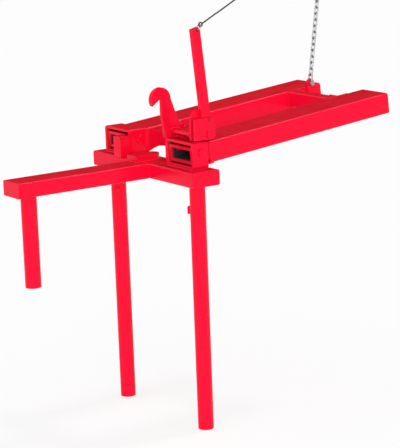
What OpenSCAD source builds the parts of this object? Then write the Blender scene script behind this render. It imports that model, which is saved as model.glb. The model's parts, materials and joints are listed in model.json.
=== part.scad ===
// Lifter for tall round containers: a pair of channels carries a tilting
// T-shaped grab head with two long legs and one short leg, a rope-worked claw
// latch and a safety chain. Millimetres, +Z up, +Y towards the pocket mouths,
// +X on the lever side. The origin lies midway between the two mouths.

/* [Channels] */
// Outer width of one channel
channel_w = 152; // [140:1:180]
// Outer height of one channel
channel_h = 77; // [70:1:90]
// Wall of the channels
channel_wall = 6; // [4:0.5:8]
// Outer corner radius of the channels
channel_round = 8; // [6.5:0.5:10]
// Distance between the channel centre lines
channel_spacing = 406; // [380:2:480]
// Slope of the channels, down towards the head
frame_slope = 5.6; // [0:0.2:8]
// Distance from the pocket mouths to the tilt pivot
pivot_reach = 862; // [760:1:1000]

/* [Tongues] */
// Height of the tongue that carries the pivot
tongue_h = 60; // [54:1:62]
// Wall of the tongues
tongue_wall = 10; // [8:0.5:12]
// Length of tongue held inside the channel
tongue_hold = 90; // [60:1:140]
// Height of the pivot above the middle of the tongue
pivot_up = 9; // [4:0.5:10]

/* [Rear cross member] */
// Distance from the pocket mouths to the cross member
cross_from_rear = 118; // [118:1:200]
// Width of the cross member along the channels
cross_w = 42; // [30:1:60]
// Height of the cross member
cross_h = 60; // [40:1:66]
// Wall of the cross member
cross_wall = 5; // [3:0.5:8]
// Drop of the cross member below the channel tops
cross_drop = 2; // [1:0.5:5]
// Radius of the hollowed corner gussets
gusset_r = 47; // [30:1:47]
// Thickness of the corner gussets
gusset_t = 8; // [7:0.5:10]
// Drop of the gussets below the cross member's top
gusset_drop = 1; // [0.5:0.5:5]

/* [Chain lug and lock hole] */
// Distance from the pocket mouths to the lug and the lock hole
lug_from_rear = 53; // [40:1:53]
// Thickness of the lug
lug_t = 10; // [8:0.5:12]
// Width of the lug along the channel
lug_w = 34; // [30:1:34]
// Radius of the lug's hole
lug_hole_r = 5.5; // [5:0.1:6.5]
// Height of the lug's hole above the channel tops
lug_hole_up = 12; // [11:0.5:16]
// Radius of the lock hole in the near channel's top
lock_r = 8; // [5:0.5:8]
// Distance of the lock hole from the channel's inner side
lock_in = 15; // [15:1:40]

/* [Cross beam and arm] */
// Width of the cross beam, front to back
beam_w = 117; // [100:1:130]
// Distance from the pivot to the front of the cross beam
beam_ahead = 71; // [66:1:80]
// Height of the cross beam and the arm
beam_h = 55; // [45:1:70]
// Wall of the cross beam and the arm
beam_wall = 5; // [3:0.5:8]
// Outer corner radius of the beams
beam_round = 7; // [5:0.5:9]
// Length of the cross beam
beam_len = 654; // [640:2:760]
// Width of the arm
arm_w = 111; // [90:1:130]
// Length of the arm in front of the cross beam
arm_len = 532; // [450:2:640]
// Thickness of the closing plates on the beam ends
cap_t = 5; // [3:0.5:8]

/* [Legs] */
// Outer diameter of the legs
leg_d = 57; // [48:1:64]
// Wall of the legs
leg_wall = 4; // [3:0.5:6]
// Length of the two long legs below the cross beam
long_leg = 896; // [700:2:1000]
// Length of the short leg below the arm
short_leg = 329; // [250:1:420]
// Distance from a beam end to its leg axis
leg_inset = 66; // [50:1:80]
// Distance of the long legs behind the cross beam's middle
leg_back = 6; // [0:0.5:12]
// Thickness of the plugs in the leg ends
plug_t = 4; // [3:0.5:8]
// Depth of the plugs inside the leg ends
plug_depth = 2; // [1:0.5:6]
// Height of the grip pads on the long legs
pad_h = 27; // [16:1:40]
// Width of the grip pads
pad_w = 16; // [10:1:24]
// Distance the grip pads stand proud of the legs
pad_proud = 9; // [5:0.5:12]
// Depth of the grip pads' top below the cross beam
pad_drop = 80; // [40:1:160]
// Distance of the grip's centre in front of the cross beam
grip_ahead = 120; // [90:1:160]

/* [Sleeves] */
// Outer width of the sleeves
sleeve_w = 168; // [166:1:190]
// Outer height of the sleeves
sleeve_h = 97; // [95:1:110]
// Wall of the sleeves
sleeve_wall = 10; // [8:0.5:11]
// Outer corner radius of the sleeves
sleeve_round = 12; // [11.5:0.5:14]
// Distance from the pivot to the front of the sleeves
sleeve_ahead = 39; // [34:1:46]
// Distance from the pivot to the back of the sleeves
sleeve_behind = 29; // [24:1:32]
// Height of the pivot above the cross beam
pivot_over_beam = 59; // [57:0.5:62]
// Running gap between a sleeve and its channel
tilt_gap = 9; // [8.5:0.5:14]
// Distance of the tongue ends inside the sleeve fronts
tongue_recess = 6; // [5:0.5:10]
// Radius of the pivot pins
pin_r = 10; // [8:0.5:12]
// Radius of the pivot pin heads
pin_head_r = 14; // [13.5:0.5:17]
// Thickness of the pivot pin heads
pin_head_t = 6; // [4:0.5:9]

/* [Tie plate] */
// Thickness of the bent tie plate between the sleeves
tie_t = 8; // [6:0.5:10]
// Outer bend radius of the tie plate
tie_bend = 26; // [20:1:28]
// Distance from the pivot to the back of the tie plate
tie_behind = 46; // [45:1:50]
// Drop of the tie plate below the sleeve tops
tie_drop = 4; // [0:0.5:10]
// Height of the arch under the tie plate, above the cross beam
arch_h = 43; // [30:1:52]
// Radius of the arch
arch_r = 199; // [180:1:260]

/* [Beam fittings] */
// Width of the strap over the arm joint
strap_w = 62; // [40:1:80]
// Thickness of the strap
strap_t = 22; // [10:1:22]
// Distance of the strap's middle from the arm's middle
strap_side = 24; // [0:1:30]
// Length of the strap in front of the cross beam
strap_ahead = 22; // [15:1:60]
// Length of the strap on the cross beam
strap_on_beam = 91; // [60:1:95]
// Width of the stop post in front of the far sleeve
post_w = 48; // [30:1:60]
// Height of the stop post
post_h = 76; // [60:1:90]
// Distance of the post's front in front of the cross beam
post_ahead = 8; // [0:1:12]
// Wall of the stop post
post_wall = 5; // [3:0.5:8]
// Height of the tilt stops under the channels
stop_h = 5; // [3:0.5:5.5]
// Length of the tilt stops
stop_len = 20; // [12:1:30]
// Width of the tilt stops
stop_w = 24; // [12:1:40]

/* [Claw latch] */
// Distance of the latch shaft behind the pivot
shaft_behind = 37; // [35:0.5:39]
// Height of the latch shaft above the sleeve tops
shaft_up = 22; // [21:0.5:28]
// Radius of the latch shaft
shaft_r = 11; // [9:0.5:12]
// Radius of the collars on the ends of the latch shaft
collar_r = 14; // [13:0.5:18]
// Thickness of the collars
collar_t = 7; // [5:0.5:10]
// Thickness of the claw
claw_t = 16; // [10:0.5:18]
// Radius of the claw's crown
claw_r = 42; // [38:0.5:46]
// Height of the crown's centre above the shaft
crown_up = 119; // [108:1:136]
// Distance of the crown's centre in front of the shaft
crown_ahead = 98; // [93:1:103]
// Thickness of the shaft bearings on the near sleeve
ear_t = 12; // [8:0.5:14]
// Radius of the shaft bearings
ear_r = 19; // [17:0.5:20]
// Thickness of the bridge between claw and lever socket
bridge_t = 12; // [8:0.5:14]
// Width of the bridge
bridge_w = 42; // [25:1:42]
// Thickness of the socket plates
socket_t = 8; // [6:0.5:10]
// Distance from the shaft to the back of the near socket plate
socket_back = 25; // [22:0.5:27]
// Height of the near socket plate above the shaft
socket_up = 59; // [50:1:66]

/* [Rope lever] */
// Thickness of the lever
lever_t = 16; // [10:0.5:17]
// Height of the lever's top above the shaft
lever_up = 377; // [300:1:460]
// Width of the lever at the shaft
lever_foot_w = 38; // [34:1:40]
// Width of the lever at its top
lever_top_w = 35; // [30:0.5:38]
// Distance the lever's top leans forwards
lever_lean = 37; // [20:1:60]
// Radius of the rope hole
rope_hole_r = 6; // [5.5:0.25:6.5]
// Radius of the socket bolt
bolt_r = 4; // [3:0.5:5]
// Height of the socket bolt above the shaft
bolt_up = 51; // [46:1:52]
// Distance of the socket bolt behind the shaft
bolt_back = 3; // [0:0.5:6]
// Rope ring, radius of its wire centre line
ring_r = 12; // [11.5:0.5:15]
// Rope ring, radius of its wire
ring_wire_r = 2; // [1.5:0.25:2.25]
// Radius of the rope
rope_r = 3; // [2.5:0.25:4]
// Radius of the rope's loops
loop_r = 7; // [7:0.5:9]

/* [Safety chain] */
// Wire diameter of the chain
chain_d = 6; // [5:0.5:6.5]
// Pitch of the chain
chain_pitch = 24; // [22:0.5:30]
// Outer width of a link
chain_w = 20; // [19.5:0.5:24]
// Links in each half of the chain
chain_half = 7; // [5:2:9]
// Backward slope of the taut chain
chain_slope = 8; // [0:0.5:15]
// Wire diameter of the shackle
shackle_d = 7; // [6:0.5:7]
// Height of the shackle's bow above its pin
shackle_h = 26; // [24:1:34]
// Outer radius of the shackle eyes
shackle_eye_r = 9; // [8:0.25:10]
// Radius of the hook's bowl
hook_r = 15; // [12:0.5:18]
// Distance from the hook's eye to the middle of its bowl
hook_reach = 40; // [34:1:50]

/* [Hidden] */
$fn = 48;
// Clearances: running fit on a radius, press fit on a radius, plate gap
run_gap = 0.05;
fixed_gap = 0.02;
plate_gap = 0.2;
wire_gap = 0.3;

paint = "#d8122b";
zinc = "#c3c6c8";
black_steel = "#2b2d30";
cord = "#4a3a30";

channel_x = channel_spacing / 2;
channel_in = channel_x - channel_w / 2;
tongue_w = channel_w - 2 * channel_wall - 2 * plate_gap;
channel_front = sleeve_behind + tilt_gap - pivot_reach;
channel_top = channel_h / 2;

// Tilt pivot in the part's frame
pivot_y = -pivot_reach * cos(frame_slope) - pivot_up * sin(frame_slope);
pivot_z = -pivot_reach * sin(frame_slope) + pivot_up * cos(frame_slope);

// Head heights and depths, measured from the pivot
beam_top = -pivot_over_beam;
beam_bottom = beam_top - beam_h;
beam_front = -beam_ahead;
beam_mid = beam_front + beam_w / 2;
leg_r = leg_d / 2;
long_leg_x = beam_len / 2 - leg_inset;
long_leg_y = beam_mid + leg_back;
short_leg_y = beam_front - arm_len + leg_inset;
grip_y = beam_front - grip_ahead;
sleeve_top = beam_top + sleeve_h;
sleeve_in = channel_x - sleeve_w / 2;
sleeve_out = channel_x + sleeve_w / 2;
sleeve_gap = sleeve_w / 2 - sleeve_wall - tongue_w / 2;
arch_z = beam_top + arch_h - arch_r;

// Claw latch, measured from the pivot
shaft_z = sleeve_top + shaft_up;
foot_gap = 1;
claw_in = sleeve_in;
claw_out = claw_in + claw_t;
near_plate = sleeve_out - socket_t;
lever_in = near_plate - plate_gap - lever_t;
far_plate = lever_in - plate_gap - socket_t;
ear_gap = 3;
bridge_back = shaft_behind - ear_r - ear_gap - 1;
bridge_z = shaft_z - 1;
bolt_y = shaft_behind + bolt_back;
bolt_z = shaft_z + bolt_up;

// Rope hole, measured from the pivot, and the slopes of the ring and the rope
rope_hole_y = shaft_behind - lever_lean + 7;
rope_hole_z = shaft_z + lever_up - 11;
ring_rise = 45;
rope_rise = 26.2;
loop_on = loop_r - ring_wire_r - rope_r - wire_gap;

// Rope route in the part's frame, from its eye to its end loop
rope_route = [
    [271, -827, 371], [271, -813, 378], [271, -799, 385], [271, -785, 392],
    [271, -771, 399], [271, -757, 405], [271, -743, 412], [271, -729, 419],
    [271, -715, 426], [271, -701, 433], [271, -687, 440], [271, -673, 447],
    [271, -659, 454], [271, -645, 461], [271, -631, 468]
];

// Chain joint heights along the taut chain, from the shackle pin
link_half = (chain_pitch + chain_d) / 2;
bow_r = lug_t / 2 + 1 + shackle_d / 2;
bow_z = shackle_h + bow_r;
first_link = bow_z - shackle_d / 2 - chain_d / 2 - wire_gap + link_half;
link_step = chain_pitch - wire_gap;
upper_link = first_link + chain_half * link_step;
hook_eye = first_link + (2 * chain_half - 1) * link_step + link_half;

// Placing helpers
module in_frame() { rotate([frame_slope, 0, 0]) children(); }
module in_head() { translate([0, pivot_y, pivot_z]) children(); }
module on_latch() {
    in_head() translate([0, shaft_behind, shaft_z]) children();
}
module on_lug() {
    in_frame()
        translate([-channel_in + lug_t / 2, -lug_from_rear,
                   channel_top + lug_hole_up])
            children();
}
module on_chain() {
    on_lug() rotate([-frame_slope - chain_slope, 0, 0]) children();
}

// Extrusions: a front-to-back profile along Y, a side profile along X
module along_y(y0, y1) {
    translate([0, y1, 0]) rotate([90, 0, 0])
        linear_extrude(y1 - y0) children();
}
module along_x(x0, x1) {
    translate([x0, 0, 0]) rotate([90, 0, 90])
        linear_extrude(x1 - x0) children();
}
module rod_x(x0, x1, r) {
    translate([x0, 0, 0]) rotate([0, 90, 0]) cylinder(r = r, h = x1 - x0);
}

// Rectangle with round corners, centred
module round_rect(w, h, r) {
    square([w - 2 * r, h], center = true);
    square([w, h - 2 * r], center = true);
    for (x = [-1, 1], y = [-1, 1])
        translate([x * (w / 2 - r), y * (h / 2 - r)]) circle(r);
}
module tube_section(w, h, wall, r) {
    difference() {
        round_rect(w, h, r);
        round_rect(w - 2 * wall, h - 2 * wall, max(r - wall, 1));
    }
}

// Channel frame
module channel(side) {
    color(paint) in_frame()
        translate([side * channel_x, 0, 0])
            along_y(channel_front, 0)
                tube_section(channel_w, channel_h, channel_wall, channel_round);
}
module channel_near() {
    color(paint)
        difference() {
            channel(1);
            in_frame()
                translate([channel_in + lock_in, -lug_from_rear,
                           channel_top - channel_wall - 1])
                    cylinder(r = lock_r, h = channel_wall + 2);
        }
}
module channel_far() { channel(-1); }

module tongue(side) {
    tip = -sleeve_ahead + tongue_recess - pivot_reach;
    color(paint) in_frame()
        translate([side * channel_x, 0, 0])
            difference() {
                along_y(tip, channel_front + tongue_hold)
                    tube_section(tongue_w, tongue_h, tongue_wall,
                                 tongue_wall);
                translate([-tongue_w, -pivot_reach, pivot_up])
                    rod_x(0, 2 * tongue_w, pin_r + run_gap);
            }
}
module tongue_near() { tongue(1); }
module tongue_far() { tongue(-1); }

module rear_cross_member() {
    color(paint) in_frame()
        translate([0, -cross_from_rear - cross_w / 2,
                   channel_top - cross_drop - cross_h / 2])
            along_x(-channel_in, channel_in)
                tube_section(cross_w, cross_h, cross_wall, cross_wall);
}

module corner_gussets() {
    color(paint) in_frame()
        for (side = [-1, 1])
            translate([side * channel_in, -cross_from_rear,
                       channel_top - cross_drop - gusset_t - gusset_drop])
                linear_extrude(gusset_t)
                    difference() {
                        translate([side > 0 ? -gusset_r : 0, 0])
                            square(gusset_r);
                        translate([-side * gusset_r, gusset_r])
                            circle(gusset_r);
                    }
}

module chain_lug() {
    color(paint) on_lug()
        difference() {
            along_x(-lug_t / 2, lug_t / 2) {
                circle(lug_w / 2);
                translate([-lug_w / 2, -lug_hole_up - channel_h / 2])
                    square([lug_w, lug_hole_up + channel_h / 2]);
            }
            rod_x(-lug_t, lug_t, lug_hole_r);
        }
}

module tilt_stops() {
    color(paint) in_frame()
        for (side = [-1, 1])
            translate([side * (channel_x + channel_w / 2 - channel_round
                               - stop_w / 2),
                       channel_front, -channel_top - stop_h])
                translate([-stop_w / 2, 0, 0])
                    cube([stop_w, stop_len, stop_h]);
}

// Grab head
module cross_beam() {
    half = beam_len / 2 - cap_t;
    color(paint) in_head()
        translate([0, beam_mid, beam_top - beam_h / 2])
            along_x(-half, half)
                tube_section(beam_w, beam_h, beam_wall, beam_round);
}

module arm() {
    color(paint) in_head()
        translate([0, 0, beam_top - beam_h / 2])
            along_y(beam_front - arm_len + cap_t, beam_front)
                tube_section(arm_w, beam_h, beam_wall, beam_round);
}

module beam_end_plates() {
    color(paint) in_head() {
        for (side = [-1, 1])
            translate([side * (beam_len / 2 - cap_t / 2), beam_mid,
                       beam_top - beam_h / 2])
                along_x(-cap_t / 2, cap_t / 2)
                    round_rect(beam_w, beam_h, beam_round);
        translate([0, 0, beam_top - beam_h / 2])
            along_y(beam_front - arm_len, beam_front - arm_len + cap_t)
                round_rect(arm_w, beam_h, beam_round);
    }
}

module leg(x, y, length) {
    color(paint) in_head()
        translate([x, y, beam_bottom - length])
            difference() {
                cylinder(r = leg_r, h = length);
                translate([0, 0, -1])
                    cylinder(r = leg_r - leg_wall, h = length + 2);
            }
}
module leg_near() { leg(long_leg_x, long_leg_y, long_leg); }
module leg_far() { leg(-long_leg_x, long_leg_y, long_leg); }
module leg_front() { leg(0, short_leg_y, short_leg); }

module leg_plugs() {
    feet = [[long_leg_x, long_leg_y, long_leg],
            [-long_leg_x, long_leg_y, long_leg],
            [0, short_leg_y, short_leg]];
    color(paint) in_head()
        for (foot = feet)
            translate([foot[0], foot[1],
                       beam_bottom - foot[2] + plug_depth])
                cylinder(r = leg_r - leg_wall - fixed_gap, h = plug_t);
}

// Pads on the long legs, facing the grip's centre
module grip_pads() {
    color(paint) in_head()
        for (side = [-1, 1])
            translate([side * long_leg_x, long_leg_y,
                       beam_bottom - pad_drop - pad_h])
                rotate(atan2(grip_y - long_leg_y, -side * long_leg_x))
                    difference() {
                        translate([0, -pad_w / 2, 0])
                            cube([leg_r + pad_proud, pad_w, pad_h]);
                        translate([0, 0, -1])
                            cylinder(r = leg_r + fixed_gap, h = pad_h + 2);
                    }
}

module joint_strap() {
    back = beam_front + strap_on_beam - strap_w / 2;
    front = beam_front - strap_ahead;
    color(paint) in_head()
        translate([0, 0, beam_top])
            linear_extrude(strap_t) {
                translate([-strap_side - strap_w / 2, front])
                    square([strap_w, back - front]);
                translate([-strap_side, back]) circle(strap_w / 2);
            }
}

module sleeve(side) {
    color(paint) in_head()
        translate([side * channel_x, 0, 0])
            difference() {
                translate([0, 0, sleeve_top - sleeve_h / 2])
                    along_y(-sleeve_ahead, sleeve_behind)
                        tube_section(sleeve_w, sleeve_h, sleeve_wall,
                                     sleeve_round);
                rod_x(-sleeve_w, sleeve_w, pin_r + fixed_gap);
            }
}
module sleeve_near() { sleeve(1); }
module sleeve_far() { sleeve(-1); }

// Outline of the bent tie plate seen from above, open to the front
module tie_outline(half, back, bend) {
    front = -sleeve_ahead + 4;
    translate([-half, front]) square([2 * half, back - bend - front]);
    translate([-half + bend, front])
        square([2 * (half - bend), back - front]);
    for (side = [-1, 1])
        translate([side * (half - bend), back - bend]) circle(bend);
}
module tie_plate() {
    color(paint) in_head()
        difference() {
            translate([0, 0, beam_top])
                linear_extrude(sleeve_h - tie_drop)
                    difference() {
                        tie_outline(sleeve_in, tie_behind, tie_bend);
                        translate([0, -1 - sleeve_ahead])
                            square([2 * (sleeve_in - tie_t),
                                    2 * sleeve_ahead], center = true);
                        tie_outline(sleeve_in - tie_t, tie_behind - tie_t,
                                    tie_bend - tie_t);
                    }
            translate([0, 0, arch_z])
                rotate([-90, 0, 0]) cylinder(r = arch_r, h = 2 * tie_behind,
                                             $fn = 96);
            rod_x(-channel_x, channel_x, pin_r + fixed_gap);
        }
}

module stop_post() {
    front = beam_front - post_ahead;
    depth = -sleeve_ahead - front;
    color(paint) in_head()
        translate([-sleeve_in - post_w, front, beam_top])
            difference() {
                cube([post_w, depth, post_h]);
                translate([post_wall, post_wall, -1])
                    cube([post_w - 2 * post_wall, depth - 2 * post_wall,
                          post_h - post_wall + 1]);
            }
}

// Pivot pin with a dimpled head; its shank points along +X from the head
module pivot_pin(grip) {
    difference() {
        union() {
            rod_x(-pin_head_t, 0, pin_head_r);
            rod_x(-1, grip, pin_r);
        }
        rod_x(-pin_head_t - 1, -pin_head_t / 2, pin_r / 2);
    }
}
module pivot_pins() {
    reach = sleeve_wall + sleeve_gap + tongue_wall;
    color(paint) in_head()
        for (side = [0, 180])
            rotate(side) {
                translate([sleeve_out, 0, 0]) rotate(180) pivot_pin(reach);
                translate([sleeve_in - tie_t, 0, 0])
                    pivot_pin(reach + tie_t);
            }
}
module pivot_washers() {
    thick = sleeve_gap - 2 * plate_gap;
    color(zinc) in_head()
        for (side = [-1, 1], wall = [-1, 1])
            translate([side * channel_x
                       + wall * (tongue_w + sleeve_gap) / 2, 0, 0])
                difference() {
                    rod_x(-thick / 2, thick / 2, pin_r + 6);
                    rod_x(-thick, thick, pin_r + fixed_gap);
                }
}

// Bearings of the latch shaft, standing on the near sleeve
module bearing_outline() {
    foot = -shaft_up;
    back = sleeve_behind - shaft_behind - 1;
    difference() {
        union() {
            circle(ear_r);
            polygon([[back - 26, foot], [back, foot], [ear_r - 5, -ear_r / 2],
                     [-ear_r + 2, 4]]);
        }
        circle(shaft_r + run_gap);
    }
}
module latch_bearings() {
    color(paint) on_latch() {
        along_x(claw_out + ear_gap, claw_out + ear_gap + ear_t)
            bearing_outline();
        along_x(far_plate - ear_gap - ear_t, far_plate - ear_gap)
            bearing_outline();
    }
}

// Claw latch
module latch_shaft() {
    color(paint) on_latch() {
        rod_x(claw_in - collar_t, sleeve_out, shaft_r);
        rod_x(sleeve_out, sleeve_out + collar_t, collar_r);
    }
}
module shaft_collar() {
    color(paint) on_latch()
        difference() {
            rod_x(claw_in - collar_t, claw_in, collar_r);
            rod_x(claw_in - 2 * collar_t, claw_in + 1, shaft_r + fixed_gap);
        }
}

module claw_plate() { along_x(claw_in, claw_out) children(); }
module claw_crown() {
    difference() {
        claw_plate() translate([-crown_ahead, crown_up]) circle(claw_r);
        translate([claw_in - 1, -crown_ahead + 4, crown_up + 6])
            rotate([215, 0, 0])
                cube([claw_t + 2, 2 * claw_r, 2 * claw_r]);
    }
}
module claw_stem() {
    foot = -shaft_up + foot_gap;
    claw_plate()
        polygon([[-crown_ahead + 3, crown_up + 8],
                 [-crown_ahead + claw_r - 3, crown_up + 8], [-39, 71],
                 [-27, 37], [12, 10], [-11, -15], [-62, foot],
                 [-83, foot], [-95, 59]]);
}
module claw() {
    color(paint) on_latch()
        difference() {
            union() {
                claw_crown();
                claw_stem();
                claw_plate() circle(collar_r + 5);
            }
            rod_x(claw_in - 1, claw_out + 1, shaft_r + fixed_gap);
        }
}

module latch_bridge() {
    color(paint) in_head()
        translate([claw_out, bridge_back - bridge_w, bridge_z])
            cube([far_plate - claw_out, bridge_w, bridge_t]);
}

module socket_outline(up, horn, back) {
    front = -63;
    foot = -17;
    difference() {
        polygon([[front, foot], [back - 8, foot], [back, foot + 9],
                 [back, up + 3], [front + 44, up], [front + 36, up + horn],
                 [front + 12, up + horn], [front, up]]);
        circle(shaft_r + fixed_gap);
        translate([bolt_back, bolt_up]) circle(bolt_r + fixed_gap);
    }
}
module socket_plates() {
    color(paint) on_latch() {
        along_x(near_plate, near_plate + socket_t)
            socket_outline(socket_up, 0, socket_back);
        along_x(far_plate, far_plate + socket_t)
            socket_outline(socket_up, 28, socket_back - 5);
    }
}

module socket_bolt() {
    head = 6;
    color(black_steel) in_head() translate([0, bolt_y, bolt_z]) {
        rod_x(far_plate, sleeve_out, bolt_r);
        for (x = [far_plate - head, sleeve_out])
            translate([x, 0, 0]) rotate([0, 90, 0])
                cylinder(r = 1.8 * bolt_r, h = head, $fn = 6);
    }
}

module rope_lever() {
    half = lever_foot_w / 2;
    top = lever_top_w / 2;
    color(paint)
        difference() {
            on_latch() along_x(lever_in, lever_in + lever_t) {
                circle(half);
                polygon([[-half, 0], [half, 0],
                         [-lever_lean + top, lever_up - 7],
                         [-lever_lean + top - 7, lever_up],
                         [-lever_lean - top, lever_up - 7]]);
            }
            on_latch() rod_x(lever_in - 1, sleeve_out, shaft_r + fixed_gap);
            in_head() translate([0, bolt_y, bolt_z])
                rod_x(lever_in - 1, sleeve_out, bolt_r + fixed_gap);
            in_head() translate([0, rope_hole_y, rope_hole_z])
                rod_x(lever_in - 1, sleeve_out, rope_hole_r);
        }
}

// Rope ring through its hole, and the loops at the rope's ends
module in_rope_hole() {
    in_head() translate([lever_in + lever_t / 2, rope_hole_y, rope_hole_z])
        children();
}
module wire_ring(r, wire) {
    rotate_extrude() translate([r, 0]) circle(wire);
}
module rope_ring() {
    color(zinc) in_rope_hole() rotate([ring_rise, 0, 0])
        translate([0, ring_r, 0]) wire_ring(ring_r, ring_wire_r);
}

module rope_loop(shift) {
    rotate([rope_rise, 0, 0]) translate([0, shift, 0])
        rotate([0, 90, 0]) wire_ring(loop_r, rope_r);
}
module rope_loops() {
    end = rope_route[len(rope_route) - 1];
    reach = 2 * ring_r;
    color(cord) {
        in_rope_hole()
            translate([0, reach * cos(ring_rise), reach * sin(ring_rise)])
                rope_loop(loop_on);
        translate(end) rope_loop(loop_r + rope_r);
    }
}

// Tube along a list of points in a plane of constant X
module tube_along(points, r, sides) {
    last = len(points) - 1;
    function heading(i) =
        let (a = points[max(i - 1, 0)], b = points[min(i + 1, last)])
            (b - a) / norm(b - a);
    function ring(i) =
        let (up = cross([1, 0, 0], heading(i)))
            [for (k = [0 : sides - 1])
                points[i] + r * (cos(360 * k / sides) * [1, 0, 0]
                                 + sin(360 * k / sides) * up)];
    skin = [for (i = [0 : last]) each ring(i)];
    walls = [for (i = [0 : last - 1], k = [0 : sides - 1])
        let (n = (k + 1) % sides, a = i * sides, b = a + sides)
            [a + k, a + n, b + n, b + k]];
    polyhedron(skin, concat(
        [[for (k = [sides - 1 : -1 : 0]) k]], walls,
        [[for (k = [0 : sides - 1]) last * sides + k]]), convexity = 4);
}
module rope() { color(cord) tube_along(rope_route, rope_r, 10); }

// Safety chain
module half_ring(r, wire) {
    rotate([90, 0, 0]) rotate_extrude(angle = 180)
        translate([r, 0]) circle(wire);
}
module shackle_bow() {
    pin = shackle_d / 2 + 0.5;
    color(zinc) on_chain()
        difference() {
            union() {
                translate([0, 0, shackle_h])
                    half_ring(bow_r, shackle_d / 2);
                for (side = [-1, 1]) {
                    translate([side * bow_r, 0, 0])
                        cylinder(r = shackle_d / 2, h = shackle_h);
                    rod_x(side * bow_r - shackle_d / 2,
                          side * bow_r + shackle_d / 2, shackle_eye_r);
                }
            }
            rod_x(-2 * bow_r, 2 * bow_r, pin + fixed_gap);
        }
}
module shackle_pin() {
    pin = shackle_d / 2 + 0.5;
    end = bow_r + shackle_d / 2;
    color(zinc) on_chain() {
        rod_x(-end - 5, end, pin);
        rod_x(end, end + 5, shackle_eye_r);
    }
}

module link() {
    r = (chain_w - chain_d) / 2;
    straight = chain_pitch + chain_d - 2 * r;
    for (end = [0, 180])
        rotate([0, end, 0]) {
            translate([0, 0, straight / 2]) half_ring(r, chain_d / 2);
            translate([r, 0, -straight / 2])
                cylinder(r = chain_d / 2, h = straight);
        }
}
module links(first, count, turned) {
    color(zinc) on_chain()
        for (i = [0 : count - 1])
            translate([0, 0, first + i * link_step])
                rotate((i + turned) % 2 == 0 ? 90 : 0) link();
}
module chain_lower() { links(first_link, chain_half, 0); }
module chain_upper() { links(upper_link, chain_half, chain_half); }

module chain_hook() {
    eye_r = chain_d + wire_gap + 2;
    eye_z = hook_eye + 2;
    bowl_z = eye_z + eye_r + hook_reach;
    color(zinc) on_chain() {
        translate([0, 0, eye_z]) rotate([0, 90, 0])
            wire_ring(eye_r, chain_d / 2);
        translate([0, 0, eye_z + eye_r])
            cylinder(r = chain_d / 2, h = hook_reach - hook_r);
        translate([0, 0, bowl_z]) rotate([90, 90, 90])
            rotate_extrude(angle = 250) translate([hook_r, 0])
                circle(chain_d / 2);
    }
}

channel_near();
channel_far();
tongue_near();
tongue_far();
rear_cross_member();
corner_gussets();
chain_lug();
tilt_stops();
cross_beam();
arm();
beam_end_plates();
leg_near();
leg_far();
leg_front();
leg_plugs();
grip_pads();
joint_strap();
sleeve_near();
sleeve_far();
tie_plate();
stop_post();
pivot_pins();
pivot_washers();
latch_bearings();
latch_shaft();
shaft_collar();
claw();
latch_bridge();
socket_plates();
socket_bolt();
rope_lever();
rope_ring();
rope();
rope_loops();
shackle_bow();
shackle_pin();
chain_lower();
chain_upper();
chain_hook();
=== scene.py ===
"""Looks of a lifter for tall round containers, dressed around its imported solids.

Everything is in metres in the part's own frame: +Z up, +Y towards the pocket
mouths, +X on the lever side, with the origin midway between the two mouths.
"""

import json
import math

import bmesh
import bpy
from bpy.props import FloatProperty, FloatVectorProperty, IntProperty, PointerProperty
from mathutils import Matrix, Vector


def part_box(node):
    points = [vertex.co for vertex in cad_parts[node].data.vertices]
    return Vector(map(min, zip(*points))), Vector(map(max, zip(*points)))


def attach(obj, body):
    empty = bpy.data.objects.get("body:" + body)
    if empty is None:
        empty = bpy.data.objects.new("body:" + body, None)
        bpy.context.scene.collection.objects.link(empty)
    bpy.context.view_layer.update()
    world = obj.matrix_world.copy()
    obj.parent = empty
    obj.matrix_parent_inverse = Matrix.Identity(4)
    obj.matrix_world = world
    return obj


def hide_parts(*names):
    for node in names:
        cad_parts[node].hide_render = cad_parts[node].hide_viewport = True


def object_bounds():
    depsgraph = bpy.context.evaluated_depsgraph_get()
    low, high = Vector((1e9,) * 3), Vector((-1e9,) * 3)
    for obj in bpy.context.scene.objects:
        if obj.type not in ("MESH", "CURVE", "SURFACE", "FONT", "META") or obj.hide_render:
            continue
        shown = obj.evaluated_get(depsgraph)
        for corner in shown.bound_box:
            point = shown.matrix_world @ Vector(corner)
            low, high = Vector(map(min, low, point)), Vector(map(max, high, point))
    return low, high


bl_info = {
    "name": "Drum Lifter Looks",
    "version": (1, 0, 0),
    "blender": (4, 5, 0),
    "location": "3D View > Sidebar > Drum Lifter",
    "description": "Paint, edges, welds, chain and rope of a container lifter",
    "category": "Object",
}

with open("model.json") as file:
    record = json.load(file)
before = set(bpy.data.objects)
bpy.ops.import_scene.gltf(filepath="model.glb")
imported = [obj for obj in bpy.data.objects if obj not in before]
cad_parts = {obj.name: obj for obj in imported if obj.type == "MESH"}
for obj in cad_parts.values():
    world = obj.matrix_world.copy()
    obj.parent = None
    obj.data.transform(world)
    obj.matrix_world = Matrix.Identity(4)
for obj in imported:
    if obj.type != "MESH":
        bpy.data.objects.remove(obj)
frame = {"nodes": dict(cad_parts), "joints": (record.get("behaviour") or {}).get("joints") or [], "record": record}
CAD_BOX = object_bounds()
BODY_OF = {
    node: body
    for body, nodes in frame["record"]["behaviour"]["bodies"].items()
    for node in nodes
}
JOINTS = {joint["name"]: joint for joint in frame["joints"]}
MOUNTS = {mount["name"]: mount for mount in frame["record"]["mounts"]}
SHACKLE = Vector(JOINTS["shackle_swing"]["pos_m"])
BOW = Vector(JOINTS["chain_swing"]["pos_m"])

# Axes of the sloping channels: across them, along them and square to their tops.
ACROSS = Vector((1.0, 0.0, 0.0))
ALONG = Vector(MOUNTS["fork_pockets"]["axis"]).normalized()
ABOVE = ACROSS.cross(ALONG)

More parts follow.
